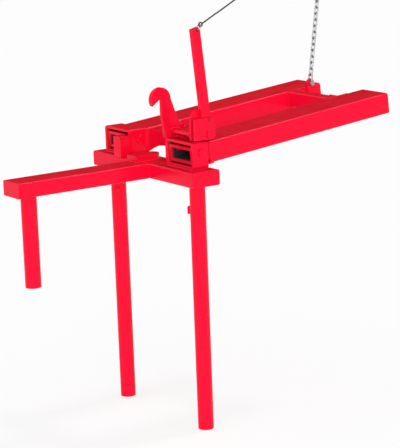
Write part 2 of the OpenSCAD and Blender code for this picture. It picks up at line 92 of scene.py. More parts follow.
# Route of the rope from its eye on the lever ring to its far loop.
ROPE_ROUTE = [
    (0.271, -0.827, 0.371), (0.271, -0.813, 0.378), (0.271, -0.799, 0.385),
    (0.271, -0.785, 0.392), (0.271, -0.771, 0.399), (0.271, -0.757, 0.405),
    (0.271, -0.743, 0.412), (0.271, -0.729, 0.419), (0.271, -0.715, 0.426),
    (0.271, -0.701, 0.433), (0.271, -0.687, 0.440), (0.271, -0.673, 0.447),
    (0.271, -0.659, 0.454), (0.271, -0.645, 0.461), (0.271, -0.631, 0.468),
]

# Where the camera stands, its angles round, above and about its own axis, and its film.
CAMERA_PLACE = (5.5498, -4.4547, 1.0541)
CAMERA_AZIMUTH = math.radians(55.79)
CAMERA_ELEVATION = math.radians(12.24)
CAMERA_ROLL = math.radians(-2.13)
FILM_WIDTH = 36.0
FARTHEST = 200.0

# Setting, direction and spread in degrees of each lamp, and the bright side of the dome.
LAMPS = {
    "Key light": ("key", (0.88, -0.45, 0.17), 20),
    "Fill light": ("fill", (-0.30, -0.90, 0.20), 40),
    "Rim light": ("rim", (0.05, 0.45, 0.89), 8),
}
DOME_BRIGHT = Vector((0.45, -0.30, 0.84)).normalized()

# Gap between the part and the floor, and half the floor's width.
FLOOR_GAP = 0.004
FLOOR_HALF = 30.0

# Colours that wear and dirt give to the finishes.
RUBBED_PAINT = (0.52, 0.05, 0.06)
HANDLED_ZINC = (0.28, 0.28, 0.29)
RUSTY_SCALE = (0.05, 0.035, 0.035)
RUBBED_STEEL = (0.12, 0.12, 0.125)
ROPE_DUST = (0.11, 0.08, 0.07)

# How copied solids are merged, which faces count as one and which edges are rounded.
MERGE_DISTANCE = 1e-6
FLAT_ANGLE = math.radians(0.4)
SHARP_ANGLE = math.radians(38)

# Corner rounding that the weld seams follow.
CROSS_ROUND = 0.005
TONGUE_ROUND = 0.010
SLEEVE_ROUND = 0.002

# Where the weld seams stop: before round corners and sleeve sides, and under the arm's top.
CORNER = 0.008
SLEEVE_INSET = 0.007
ARM_SEAM_DROP = 0.001

# Ends of the bearings' seams before the sleeve's back, and the bearings' thickness.
BEARING_SEAM = (0.026, 0.002)
BEARING_THICK = 0.012


# Settings


class PaintSettings(bpy.types.PropertyGroup):
    """The gloss paint on the welded steel."""

    colour: FloatVectorProperty(
        name="Paint", description="Colour of the fresh paint", subtype="COLOR",
        size=3, min=0, max=1, default=(0.92, 0.004, 0.038),
    )
    thin_colour: FloatVectorProperty(
        name="Thin paint", description="Colour where the coat is thin",
        subtype="COLOR", size=3, min=0, max=1, default=(0.80, 0.001, 0.024),
    )
    # Painted shade: a darker red for the upper faces, which get less of the light.
    top_shade_colour: FloatVectorProperty(
        name="Top shade paint", description="Colour under the dust on upper faces",
        subtype="COLOR", size=3, min=0, max=1, default=(0.56, 0.001, 0.012),
    )
    gloss_roughness: FloatProperty(
        name="Roughness", description="Roughness of the clean paint",
        min=0, max=1, default=0.2,
    )
    dust_roughness: FloatProperty(
        name="Dusty roughness", description="Roughness under settled dust",
        min=0, max=1, default=0.95,
    )
    peel: FloatProperty(
        name="Orange peel", description="Depth of the paint's fine waviness",
        min=0, max=1, default=0.05,
    )
    overspray: FloatProperty(
        name="Overspray", description="Depth to which paint reaches into a tube",
        unit="LENGTH", min=0.001, default=0.022,
    )


class SteelSettings(bpy.types.PropertyGroup):
    """Zinc plating on the chain, shackle and small fittings."""

    colour: FloatVectorProperty(
        name="Zinc", description="Colour of the plating", subtype="COLOR",
        size=3, min=0, max=1, default=(0.42, 0.43, 0.445),
    )
    roughness: FloatProperty(
        name="Roughness", description="Roughness of the bright plating",
        min=0, max=1, default=0.3,
    )
    # Near black, also used as painted shade deep in the tubes and at the socket bolt's hole.
    black: FloatVectorProperty(
        name="Black steel", description="Colour of bare scale and blackened steel",
        subtype="COLOR", size=3, min=0, max=1, default=(0.016, 0.015, 0.017),
    )


class EdgeSettings(bpy.types.PropertyGroup):
    """Small rounding on sawn and ground edges."""

    plate: FloatProperty(
        name="Plate edges", description="Rounding on flame-cut plates",
        unit="LENGTH", min=0, default=0.0012,
    )
    tube: FloatProperty(
        name="Tube ends", description="Rounding on sawn tube ends",
        unit="LENGTH", min=0, default=0.0008,
    )
    steps: IntProperty(
        name="Steps", description="Faces across a rounded edge", min=1, default=2,
    )


class WeldSettings(bpy.types.PropertyGroup):
    """Fillet weld beads under the paint."""

    radius: FloatProperty(
        name="Bead", description="Radius of a weld bead", unit="LENGTH",
        min=0, default=0.0034,
    )
    ripple: FloatProperty(
        name="Ripple", description="Distance between the ripples of a bead",
        unit="LENGTH", min=0.001, default=0.0045,
    )


class RopeSettings(bpy.types.PropertyGroup):
    """The pull rope on the lever."""

    colour: FloatVectorProperty(
        name="Rope", description="Colour of the rope's fibres", subtype="COLOR",
        size=3, min=0, max=1, default=(0.018, 0.011, 0.010),
    )
    radius: FloatProperty(
        name="Radius", description="Radius of the rope", unit="LENGTH",
        min=0.001, default=0.003,
    )
    lay: FloatProperty(
        name="Lay", description="Length of one turn of a strand", unit="LENGTH",
        min=0.005, default=0.019,
    )
    loop_radius: FloatProperty(
        name="Loop", description="Radius of the rope's end loops", unit="LENGTH",
        min=0.004, default=0.007,
    )


class ChainSettings(bpy.types.PropertyGroup):
    """The links of the safety chain."""

    wire: FloatProperty(
        name="Wire", description="Radius of the chain's wire", unit="LENGTH",
        min=0.001, default=0.003,
    )
    width: FloatProperty(
        name="Width", description="Width of a link between wire centres",
        unit="LENGTH", min=0.004, default=0.014,
    )
    length: FloatProperty(
        name="Length", description="Length of a link between wire centres",
        unit="LENGTH", min=0.008, default=0.030,
    )
    step: FloatProperty(
        name="Step", description="Distance from one link to the next",
        unit="LENGTH", min=0.005, default=0.0237,
    )
    half: IntProperty(
        name="Links", description="Links in each half of the chain", min=1, default=7,
    )


class StageSettings(bpy.types.PropertyGroup):
    """Floor, light and camera."""

    floor_colour: FloatVectorProperty(
        name="Floor", description="Colour of the floor", subtype="COLOR",
        size=3, min=0, max=1, default=(0.94, 0.94, 0.94),
    )
    floor_glow: FloatProperty(
        name="Floor glow", description="Share of plain white in what is seen of the floor",
        min=0, max=1, default=0.8,
    )
    key: FloatProperty(
        name="Key light", description="Strength of the key light", min=0, default=1.3,
    )
    fill: FloatProperty(
        name="Fill light", description="Strength of the fill light", min=0, default=0.4,
    )
    rim: FloatProperty(
        name="Rim light", description="Strength of the light on upper edges from behind",
        min=0, default=0.7,
    )
    dome_front: FloatProperty(
        name="Dome, front", description="Strength of the soft light before and above",
        min=0, default=0.98,
    )
    dome_back: FloatProperty(
        name="Dome, back", description="Strength of the soft light behind",
        min=0, default=0.02,
    )
    lens: FloatProperty(
        name="Lens", description="Focal length of the camera", unit="CAMERA",
        min=1, default=167.07,
    )


SETTINGS = {
    "lifter_paint": PaintSettings,
    "lifter_steel": SteelSettings,
    "lifter_edges": EdgeSettings,
    "lifter_welds": WeldSettings,
    "lifter_rope": RopeSettings,
    "lifter_chain": ChainSettings,
    "lifter_stage": StageSettings,
}


# Shader helpers


def add_node(tree, kind, inputs=None, **settings):
    """Adds a node and sets its properties and its unlinked inputs."""
    node = tree.nodes.new(kind)
    for name, value in settings.items():
        setattr(node, name, value)
    for name, value in (inputs or {}).items():
        node.inputs[name].default_value = value
    return node


def wire(tree, *links):
    """Links nodes by rows of node, output, node and input."""
    for source, output, target, socket in links:
        tree.links.new(source.outputs[output], target.inputs[socket])


def math_node(tree, operation, first, second=None, clamp=False):
    """A math node on links or numbers."""
    node = add_node(tree, "ShaderNodeMath", operation=operation, use_clamp=clamp)
    for socket, value in zip(node.inputs, (first, second)):
        if isinstance(value, bpy.types.NodeSocket):
            tree.links.new(value, socket)
        elif value is not None:
            socket.default_value = value
    return node.outputs["Value"]


def seen_rays(tree):
    """1 for rays from the camera, in a mirror or through glass, and 0 for light."""
    rays = tree.nodes.new("ShaderNodeLightPath").outputs
    mirrored = math_node(tree, "MAXIMUM", rays["Is Camera Ray"], rays["Is Glossy Ray"])
    return math_node(tree, "MAXIMUM", mirrored, rays["Is Transmission Ray"])


def shade(colour, factor):
    """A darker or a paler tone of a colour."""
    return tuple(factor * part for part in colour)


def shader_group(name, inputs, output):
    """An empty shader group on coordinates, with float inputs and one float output."""
    tree = bpy.data.node_groups.new(name, "ShaderNodeTree")
    new_socket = tree.interface.new_socket
    new_socket("Coordinates", in_out="INPUT", socket_type="NodeSocketVector")
    for socket in inputs:
        new_socket(socket, in_out="INPUT", socket_type="NodeSocketFloat")
    new_socket(output, in_out="OUTPUT", socket_type="NodeSocketFloat")
    return tree, tree.nodes.new("NodeGroupInput"), tree.nodes.new("NodeGroupOutput")


def put_out_mask(tree, given, out, first, second):
    """Puts out the product of two masks, scaled by the group's amount."""
    both = math_node(tree, "MULTIPLY", first, second)
    scaled = math_node(tree, "MULTIPLY", both, given.outputs["Amount"], clamp=True)
    tree.links.new(scaled, out.inputs["Mask"])


def scuff_group():
    """Thin rubbed streaks, as a mask from 0 to 1."""
    tree, given, out = shader_group("Rubbed Streaks", ("Scale", "Amount"), "Mask")
    stretch = add_node(tree, "ShaderNodeMapping",
                       {"Scale": (1.0, 0.12, 1.0), "Rotation": (0.3, 0.2, 0.5)})
    streaks = add_node(tree, "ShaderNodeTexNoise", {"Detail": 3.0, "Roughness": 0.65})
    patches = add_node(tree, "ShaderNodeTexNoise", {"Scale": 6.0, "Detail": 2.0})
    thin = add_node(tree, "ShaderNodeMapRange", {"From Min": 0.6, "From Max": 0.74})
    where = add_node(tree, "ShaderNodeMapRange", {"From Min": 0.5, "From Max": 0.68})
    wire(
        tree,
        (given, "Coordinates", stretch, "Vector"),
        (stretch, "Vector", streaks, "Vector"),
        (given, "Scale", streaks, "Scale"),
        (given, "Coordinates", patches, "Vector"),
        (streaks, "Fac", thin, "Value"),
        (patches, "Fac", where, "Value"),
    )
    put_out_mask(tree, given, out, thin.outputs["Result"], where.outputs["Result"])
    return tree


def dust_and_shade_group():
    """Faces that look up, in patches, as a mask from 0 to 1: settled dust, and on the paint also painted shade on
    the tops.
    """
    tree, given, out = shader_group(
        "Settled Dust", ("Scale", "Amount", "Evenness"), "Mask")
    facing = tree.nodes.new("ShaderNodeNewGeometry")
    split = tree.nodes.new("ShaderNodeSeparateXYZ")
    upward = add_node(tree, "ShaderNodeMapRange", {"From Min": 0.9, "From Max": 0.98})
    cloud = add_node(tree, "ShaderNodeTexNoise", {"Detail": 5.0, "Roughness": 0.6})
    patch = add_node(tree, "ShaderNodeMapRange", {"From Min": 0.35, "From Max": 0.7})
    wire(
        tree,
        (facing, "Normal", split, "Vector"),
        (split, "Z", upward, "Value"),
        (given, "Coordinates", cloud, "Vector"),
        (given, "Scale", cloud, "Scale"),
        (cloud, "Fac", patch, "Value"),
        (given, "Evenness", patch, "To Min"),
    )
    put_out_mask(tree, given, out, upward.outputs["Result"], patch.outputs["Result"])
    return tree


def mottle_group():
    """Fine unevenness at two sizes, as a value around 0.5."""
    coarseness = 0.13
    tree, given, out = shader_group("Fine Mottle", ("Scale",), "Value")
    fine = add_node(tree, "ShaderNodeTexNoise", {"Detail": 2.0})
    coarse = add_node(tree, "ShaderNodeTexNoise", {"Detail": 3.0})
    mean = add_node(tree, "ShaderNodeMix", {"Factor": 0.5}, data_type="FLOAT")
    coarse_scale = math_node(tree, "MULTIPLY", given.outputs["Scale"], coarseness)
    tree.links.new(coarse_scale, coarse.inputs["Scale"])
    wire(
        tree,
        (given, "Coordinates", fine, "Vector"),
        (given, "Coordinates", coarse, "Vector"),
        (given, "Scale", fine, "Scale"),
        (fine, "Fac", mean, "A"),
        (coarse, "Fac", mean, "B"),
        (mean, "Result", out, "Value"),
    )
    return tree


def use_group(tree, group, coordinates, **values):
    """Places a shader group on the given coordinates."""
    node = tree.nodes.new("ShaderNodeGroup")
    node.node_tree = group
    tree.links.new(coordinates, node.inputs["Coordinates"])
    for name, value in values.items():
        node.inputs[name].default_value = value
    return node


def new_material(name):
    """A material with its shader and Object coordinates."""
    material = bpy.data.materials.new(name)
    material.use_nodes = True
    tree = material.node_tree
    shader = tree.nodes["Principled BSDF"]
    place = tree.nodes.new("ShaderNodeTexCoord").outputs["Object"]
    return material, tree, shader, place


def mix_colour(tree, factor, first, second):
    """Mixes two colours, or a colour and a link, by a mask."""
    node = tree.nodes.new("ShaderNodeMix")
    node.data_type = "RGBA"
    tree.links.new(factor, node.inputs["Factor"])
    for socket, colour in ((node.inputs[6], first), (node.inputs[7], second)):
        if isinstance(colour, bpy.types.NodeSocket):
            tree.links.new(colour, socket)
        else:
            socket.default_value = (*colour, 1.0)
    return node.outputs[2]


def spread(tree, value, low, high):
    """Maps a value from 0-1 onto a range."""
    node = add_node(tree, "ShaderNodeMapRange", {"To Min": low, "To Max": high})
    tree.links.new(value, node.inputs["Value"])
    return node.outputs["Result"]


def bump(tree, shader, height, strength, distance):
    """Bumps the shader's normal by a height."""
    node = add_node(tree, "ShaderNodeBump",
                    {"Strength": strength, "Distance": distance})
    tree.links.new(height, node.inputs["Height"])
    tree.links.new(node.outputs["Normal"], shader.inputs["Normal"])


def make_paint(groups, paint):
    """Gloss paint with a faint orange peel, painted shade and dull dust on top, and a few rubbed streaks."""
    material, tree, shader, place = new_material("Red Gloss Paint")
    peel = use_group(tree, groups["mottle"], place, Scale=420.0)
    dust = use_group(tree, groups["dust"], place, Scale=9.0, Amount=1.0, Evenness=0.8)
    scuff = use_group(tree, groups["scuff"], place, Scale=150.0, Amount=0.45)
    body = mix_colour(tree, peel.outputs["Value"], paint.colour, paint.thin_colour)
    # Painted shade: upper faces are darkened towards the top shade colour.
    dust_and_shade_tone = mix_colour(tree, dust.outputs["Mask"], body, paint.top_shade_colour)
    rubbed = mix_colour(tree, scuff.outputs["Mask"], dust_and_shade_tone, RUBBED_PAINT)
    tree.links.new(rubbed, shader.inputs["Base Color"])
    dulled = math_node(tree, "MAXIMUM", dust.outputs["Mask"], scuff.outputs["Mask"])
    rough = spread(tree, dulled, low=paint.gloss_roughness, high=paint.dust_roughness)
    tree.links.new(rough, shader.inputs["Roughness"])
    shader.inputs["Specular IOR Level"].default_value = 0.1
    bump(tree, shader, peel.outputs["Value"], strength=paint.peel, distance=0.002)
    return material


def make_zinc(groups, steel):
    """Bright zinc plating with crystal flecks and grey handling marks."""
    material, tree, shader, place = new_material("Bright Zinc")
    flecks = add_node(tree, "ShaderNodeTexVoronoi", {"Scale": 240.0})
    tree.links.new(place, flecks.inputs["Vector"])
    scuff = use_group(tree, groups["scuff"], place, Scale=260.0, Amount=0.8)
    grain = use_group(tree, groups["mottle"], place, Scale=700.0)
    fleck = mix_colour(tree, flecks.outputs["Distance"], steel.colour,
                       shade(steel.colour, 0.72))
    marked = mix_colour(tree, scuff.outputs["Mask"], fleck, HANDLED_ZINC)
    tree.links.new(marked, shader.inputs["Base Color"])
    shader.inputs["Metallic"].default_value = 0.9
    rough = spread(tree, grain.outputs["Value"], low=steel.roughness - 0.08,
                   high=steel.roughness + 0.12)
    tree.links.new(rough, shader.inputs["Roughness"])
    bump(tree, shader, grain.outputs["Value"], strength=0.08, distance=0.0008)
    return material


def make_bore(groups, paint, steel):
    """Inner walls of the tubes: overspray at the mouths, and further in bare scale, near black so that it also
    paints the shade deep inside.
    """
    material, tree, shader, place = new_material("Bare Bore")
    grain = use_group(tree, groups["mottle"], place, Scale=160.0)
    scuff = use_group(tree, groups["scuff"], place, Scale=90.0, Amount=0.5)
    split = tree.nodes.new("ShaderNodeSeparateXYZ")
    tree.links.new(place, split.inputs["Vector"])
    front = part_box("sleeve_near")[0].y
    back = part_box("channel_near")[1].y
    depths = []
    for mouth, inside in ((front, paint.overspray), (back, -2 * paint.overspray)):
        depth = add_node(tree, "ShaderNodeMapRange",
                         {"From Min": mouth + inside / 4, "From Max": mouth + inside})
        tree.links.new(split.outputs["Y"], depth.inputs["Value"])
        depths.append(depth.outputs["Result"])
    # Painted shade: deeper in, the walls turn near black, both as bare scale and as the shade inside the tube.
    bare_and_shaded = math_node(tree, "MULTIPLY", *depths)
    scale = mix_colour(tree, scuff.outputs["Mask"], steel.black, RUSTY_SCALE)
    wall = mix_colour(tree, bare_and_shaded, paint.thin_colour, scale)
    tree.links.new(wall, shader.inputs["Base Color"])
    rough = spread(tree, grain.outputs["Value"], low=0.5, high=0.8)
    tree.links.new(rough, shader.inputs["Roughness"])
    bump(tree, shader, grain.outputs["Value"], strength=0.2, distance=0.001)
    return material


def make_black_steel_and_shade(groups, paint, steel):
    """Blackened steel, dark also as painted shade of the bolt's hole, with rubbed grey streaks and a veil of
    overspray.
    """
    material, tree, shader, place = new_material("Black Steel")
    grain = use_group(tree, groups["mottle"], place, Scale=700.0)
    scuff = use_group(tree, groups["scuff"], place, Scale=260.0, Amount=0.7)
    rubbed = mix_colour(tree, scuff.outputs["Mask"], steel.black, RUBBED_STEEL)
    veil = spread(tree, grain.outputs["Value"], low=0.4, high=0.9)
    sprayed = mix_colour(tree, veil, rubbed, paint.thin_colour)
    tree.links.new(sprayed, shader.inputs["Base Color"])
    shader.inputs["Metallic"].default_value = 0.3
    rough = spread(tree, grain.outputs["Value"], low=0.35, high=0.6)
    tree.links.new(rough, shader.inputs["Roughness"])
    bump(tree, shader, grain.outputs["Value"], strength=0.1, distance=0.0008)
    return material


def make_rope_fibre(groups, rope):
    """Dark twisted fibre with paler worn strands."""
    material, tree, shader, place = new_material("Rope Fibre")
    fibres = use_group(tree, groups["mottle"], place, Scale=1500.0)
    dust = use_group(tree, groups["dust"], place, Scale=40.0, Amount=0.35, Evenness=0.0)
    strand = mix_colour(tree, fibres.outputs["Value"], rope.colour,
                        shade(rope.colour, 3.2))
    dust_and_shade_tone = mix_colour(tree, dust.outputs["Mask"], strand, ROPE_DUST)
    tree.links.new(dust_and_shade_tone, shader.inputs["Base Color"])
    rough = spread(tree, fibres.outputs["Value"], low=0.8, high=0.98)
    tree.links.new(rough, shader.inputs["Roughness"])
    shader.inputs["Sheen Weight"].default_value = 0.3
    bump(tree, shader, fibres.outputs["Value"], strength=0.5, distance=0.0006)
    return material


# The finishes by name, once they are made, and the record's slot for each.
MATERIALS = {}
SLOT_OF = {"paint": "red_paint", "zinc": "galvanised", "black": "black_steel",
           "rope": "rope_fibre"}


# Piece helpers


def piece_name(node):
    """The name of the piece that stands in for a node."""
    return "".join(word.capitalize() for word in node.split("_"))


def new_piece(name, mesh, body, finish, replaced=()):
    """Puts a finished mesh on a body with its material."""
    piece = bpy.data.objects.new(name, mesh)
    bpy.context.scene.collection.objects.link(piece)
    mesh.materials.clear()
    mesh.materials.append(MATERIALS[finish])
    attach(piece, body)
    if replaced:
        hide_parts(*replaced)
    return piece


def evaluated_mesh(holder):
    """The mesh that an object's modifiers make, and removes the object."""
    bpy.context.view_layer.update()
    graph = bpy.context.evaluated_depsgraph_get()
    mesh = bpy.data.meshes.new_from_object(holder.evaluated_get(graph))
    bpy.data.objects.remove(holder)
    return mesh


def soften(node, edge, finish="paint"):
    """A copy of a node with small rounded edges, standing in for it."""
    mesh = frame["nodes"][node].data.copy()
    work = bmesh.new()
    work.from_mesh(mesh)
    bmesh.ops.remove_doubles(work, verts=work.verts, dist=MERGE_DISTANCE)
    bmesh.ops.dissolve_limit(work, angle_limit=FLAT_ANGLE,
                             verts=work.verts, edges=work.edges)
    work.to_mesh(mesh)
    work.free()
    mesh.shade_smooth()
    holder = bpy.data.objects.new(node + "_edges", mesh)
    bpy.context.scene.collection.objects.link(holder)
    rounding = holder.modifiers.new("Rounded edges", "BEVEL")
    rounding.width = edge
    rounding.segments = bpy.context.scene.lifter_edges.steps
    rounding.limit_method = "ANGLE"
    rounding.angle_limit = SHARP_ANGLE
    even = holder.modifiers.new("Even shading", "WEIGHTED_NORMAL")
    even.mode = "FACE_AREA"
    mesh = evaluated_mesh(holder)
    return new_piece(piece_name(node), mesh, BODY_OF[node], finish, [node])


def bare_and_shaded_inside(piece, along):
    """Gives the inner walls of a tube piece, which face its middle, the bore's bare scale and painted shade."""
    inward = -0.2
    mesh = piece.data
    mesh.materials.append(MATERIALS["bore"])
    middle = sum((vert.co for vert in mesh.vertices), Vector()) / len(mesh.vertices)
    for face in mesh.polygons:
        out = face.center - middle
        out -= along * out.dot(along)
        if face.normal.dot(out.normalized()) < inward:
            face.material_index = 1


def reach(node, axis):
    """The lowest and the highest place of a node along an axis."""
    places = [axis.dot(vert.co) for vert in frame["nodes"][node].data.vertices]
    return min(places), max(places)


def on_channels(x, y, z):
    """A point given across, along and above the sloping channels."""
    return x * ACROSS + y * ALONG + z * ABOVE


def round_loop(first, second, radius, place):
    """Points round a rectangle with round corners, set by place(u, v)."""
    steps = 6
    points = []
    for corner in range(4):
        u = first[1] - radius if corner in (0, 3) else first[0] + radius
        v = second[1] - radius if corner in (0, 1) else second[0] + radius
        for step in range(steps + 1):
            angle = (corner + step / steps) * math.pi / 2
            points.append(place(u + radius * math.cos(angle),
                                v + radius * math.sin(angle)))
    return points


def geometry_tree(name, sockets):
    """A geometry node tree with the given inputs and one geometry output."""
    tree = bpy.data.node_groups.new(name, "GeometryNodeTree")
    for socket, kind in sockets:
        tree.interface.new_socket(socket, in_out="INPUT", socket_type=kind)
    tree.interface.new_socket("Geometry", in_out="OUTPUT",
                              socket_type="NodeSocketGeometry")
    return tree, tree.nodes.new("NodeGroupInput"), tree.nodes.new("NodeGroupOutput")


def grow(name, tree, mesh, values):
    """The mesh that a geometry node tree makes from a base mesh."""
    holder = bpy.data.objects.new(name, mesh)
    bpy.context.scene.collection.objects.link(holder)
    modifier = holder.modifiers.new(name, "NODES")
    modifier.node_group = tree
    for item in tree.interface.items_tree:
        if item.in_out == "INPUT" and item.name in values:
            modifier[item.identifier] = values[item.name]
    return evaluated_mesh(holder)


def line_mesh(name, paths):
    """A mesh of bare edges along open or closed lists of points."""
    verts, edges = [], []
    for points, closed in paths:
        first = len(verts)
        verts += [tuple(point) for point in points]
        edges += [(i, i + 1) for i in range(first, len(verts) - 1)]
        if closed:
            edges.append((len(verts) - 1, first))
    mesh = bpy.data.meshes.new(name)
    mesh.from_pydata(verts, edges, [])
    return mesh


def finish_tree(tree, out, geometry, given):
    """Ends a tree with Realize Instances, smooth shading and Set Material."""
    real = tree.nodes.new("GeometryNodeRealizeInstances")
    smooth = tree.nodes.new("GeometryNodeSetShadeSmooth")
    coat = tree.nodes.new("GeometryNodeSetMaterial")
    tree.links.new(geometry, real.inputs["Geometry"])
    wire(
        tree,
        (real, "Geometry", smooth, "Geometry"),
        (smooth, "Geometry", coat, "Geometry"),
        (given, "Material", coat, "Material"),
        (coat, "Geometry", out, "Geometry"),
    )


# Geometry node trees


def weld_tree():
    """A rippled bead along every edge of the base mesh."""
    tree, given, out = geometry_tree("Weld Bead", [
        ("Seams", "NodeSocketGeometry"), ("Radius", "NodeSocketFloat"),
        ("Ripple", "NodeSocketFloat"), ("Material", "NodeSocketMaterial"),
    ])
    sides = 8
    ripple_height = 0.1
    mean_radius = 0.95
    ring_spacing = 0.34
    seams = tree.nodes.new("GeometryNodeMeshToCurve")
    steps = add_node(tree, "GeometryNodeResampleCurve", mode="LENGTH")
    along = tree.nodes.new("GeometryNodeSplineParameter")
    swell = tree.nodes.new("GeometryNodeSetCurveRadius")
    profile = add_node(tree, "GeometryNodeCurvePrimitiveCircle", {"Resolution": sides})
    bead = add_node(tree, "GeometryNodeCurveToMesh", {"Fill Caps": True})
    phase = math_node(tree, "DIVIDE", along.outputs["Length"], given.outputs["Ripple"])
    wave = math_node(tree, "SINE", math_node(tree, "MULTIPLY", phase, math.tau))
    ripple = math_node(tree, "MULTIPLY", wave, ripple_height)
    radius = math_node(tree, "ADD", ripple, mean_radius)
    length = math_node(tree, "MULTIPLY", given.outputs["Ripple"], ring_spacing)
    tree.links.new(length, steps.inputs["Length"])
    tree.links.new(radius, swell.inputs["Radius"])
    wire(
        tree,
        (given, "Seams", seams, "Mesh"),
        (seams, "Curve", steps, "Curve"),
        (steps, "Curve", swell, "Curve"),
        (given, "Radius", profile, "Radius"),
        (swell, "Curve", bead, "Curve"),
        (profile, "Curve", bead, "Profile Curve"),
    )
    finish_tree(tree, out, bead.outputs["Mesh"], given)
    return tree


def rope_tree():
    """Three laid strands along the base mesh's edges."""
    tree, given, out = geometry_tree("Laid Rope", [
        ("Route", "NodeSocketGeometry"), ("Radius", "NodeSocketFloat"),
        ("Lay", "NodeSocketFloat"), ("Material", "NodeSocketMaterial"),
    ])
    strands = 3
    sides = 24
    ring_spacing = 0.0011
    groove = 0.3
    route = tree.nodes.new("GeometryNodeMeshToCurve")
    steps = add_node(tree, "GeometryNodeResampleCurve", {"Length": ring_spacing},
                     mode="LENGTH")
    along = tree.nodes.new("GeometryNodeSplineParameter")
    twist = tree.nodes.new("GeometryNodeSetCurveTilt")
    profile = add_node(tree, "GeometryNodeCurvePrimitiveCircle", {"Resolution": sides})
    lobes = tree.nodes.new("GeometryNodeSetPosition")
    place = tree.nodes.new("GeometryNodeInputPosition")
    index = tree.nodes.new("GeometryNodeInputIndex")
    scale = add_node(tree, "ShaderNodeVectorMath", operation="SCALE")
    laid = add_node(tree, "GeometryNodeCurveToMesh", {"Fill Caps": True})
    angle = math_node(tree, "MULTIPLY", index.outputs["Index"],
                      strands * math.tau / sides)
    half_angle = math_node(tree, "MULTIPLY", angle, 0.5)
    lobe = math_node(tree, "ABSOLUTE", math_node(tree, "COSINE", half_angle))
    bulge = math_node(tree, "MULTIPLY", lobe, groove)
    size = math_node(tree, "ADD", bulge, 1.0 - groove)
    turns = math_node(tree, "DIVIDE", along.outputs["Length"], given.outputs["Lay"])
    tree.links.new(math_node(tree, "MULTIPLY", turns, math.tau), twist.inputs["Tilt"])
    tree.links.new(size, scale.inputs["Scale"])
    wire(
        tree,
        (given, "Route", route, "Mesh"),
        (route, "Curve", steps, "Curve"),
        (steps, "Curve", twist, "Curve"),
        (given, "Radius", profile, "Radius"),
        (place, "Position", scale, "Vector"),
        (profile, "Curve", lobes, "Geometry"),
        (scale, "Vector", lobes, "Position"),
        (twist, "Curve", laid, "Curve"),
        (lobes, "Geometry", laid, "Profile Curve"),
    )
    finish_tree(tree, out, laid.outputs["Mesh"], given)
    return tree


def chain_tree():
    """A run of welded links, each turned a quarter from the last."""
    tree, given, out = geometry_tree("Link Chain", [
        ("Base", "NodeSocketGeometry"), ("Links", "NodeSocketInt"),
        ("Width", "NodeSocketFloat"), ("Length", "NodeSocketFloat"),
        ("Wire", "NodeSocketFloat"), ("Step", "NodeSocketFloat"),
        ("First Turn", "NodeSocketInt"), ("Start", "NodeSocketVector"),
        ("Lean", "NodeSocketVector"), ("Material", "NodeSocketMaterial"),
    ])
    bend_share = 0.499
    bend_steps = 12
    rings = 72
    sides = 14
    weld_place = 0.34
    weld_slope = 26.0
    weld_height = 0.16
    outline = tree.nodes.new("GeometryNodeCurvePrimitiveQuadrilateral")
    ends = add_node(tree, "GeometryNodeFilletCurve", {"Count": bend_steps}, mode="POLY")
    steps = add_node(tree, "GeometryNodeResampleCurve", {"Count": rings}, mode="COUNT")
    along = tree.nodes.new("GeometryNodeSplineParameter")
    swell = tree.nodes.new("GeometryNodeSetCurveRadius")
    profile = add_node(tree, "GeometryNodeCurvePrimitiveCircle", {"Resolution": sides})
    rod = tree.nodes.new("GeometryNodeCurveToMesh")
    upright = add_node(tree, "GeometryNodeTransform",
                       {"Rotation": (math.pi / 2, 0, 0)})
    offset = tree.nodes.new("ShaderNodeCombineXYZ")
    run = add_node(tree, "GeometryNodeMeshLine", mode="OFFSET")
    index = tree.nodes.new("GeometryNodeInputIndex")
    turn = tree.nodes.new("ShaderNodeCombineXYZ")
    copies = tree.nodes.new("GeometryNodeInstanceOnPoints")
    hang = tree.nodes.new("GeometryNodeTransform")
    bend = math_node(tree, "MULTIPLY", given.outputs["Width"], bend_share)
    beside = math_node(tree, "SUBTRACT", along.outputs["Factor"], weld_place)
    away = math_node(tree, "ABSOLUTE", beside)
    fall = math_node(tree, "MULTIPLY", away, weld_slope)
    weld = math_node(tree, "MAXIMUM", math_node(tree, "SUBTRACT", 1.0, fall), 0.0)
    bulge = math_node(tree, "MULTIPLY", weld, weld_height)
    radius = math_node(tree, "ADD", bulge, 1.0)
    number = math_node(tree, "ADD", index.outputs["Index"], given.outputs["First Turn"])
    odd = math_node(tree, "MODULO", number, 2.0)
    quarter = math_node(tree, "MULTIPLY", odd, math.pi / 2)
    tree.links.new(bend, ends.inputs["Radius"])
    tree.links.new(radius, swell.inputs["Radius"])
    tree.links.new(quarter, turn.inputs["Z"])
    wire(
        tree,
        (given, "Width", outline, "Width"),
        (given, "Length", outline, "Height"),
        (outline, "Curve", ends, "Curve"),
        (ends, "Curve", steps, "Curve"),
        (steps, "Curve", swell, "Curve"),
        (given, "Wire", profile, "Radius"),
        (swell, "Curve", rod, "Curve"),
        (profile, "Curve", rod, "Profile Curve"),
        (rod, "Mesh", upright, "Geometry"),
        (given, "Links", run, "Count"),
        (given, "Step", offset, "Z"),
        (offset, "Vector", run, "Offset"),
        (run, "Mesh", copies, "Points"),
        (upright, "Geometry", copies, "Instance"),
        (turn, "Vector", copies, "Rotation"),
        (copies, "Instances", hang, "Geometry"),
        (given, "Start", hang, "Translation"),
        (given, "Lean", hang, "Rotation"),
    )
    finish_tree(tree, out, hang.outputs["Geometry"], given)
    return tree


# Operators


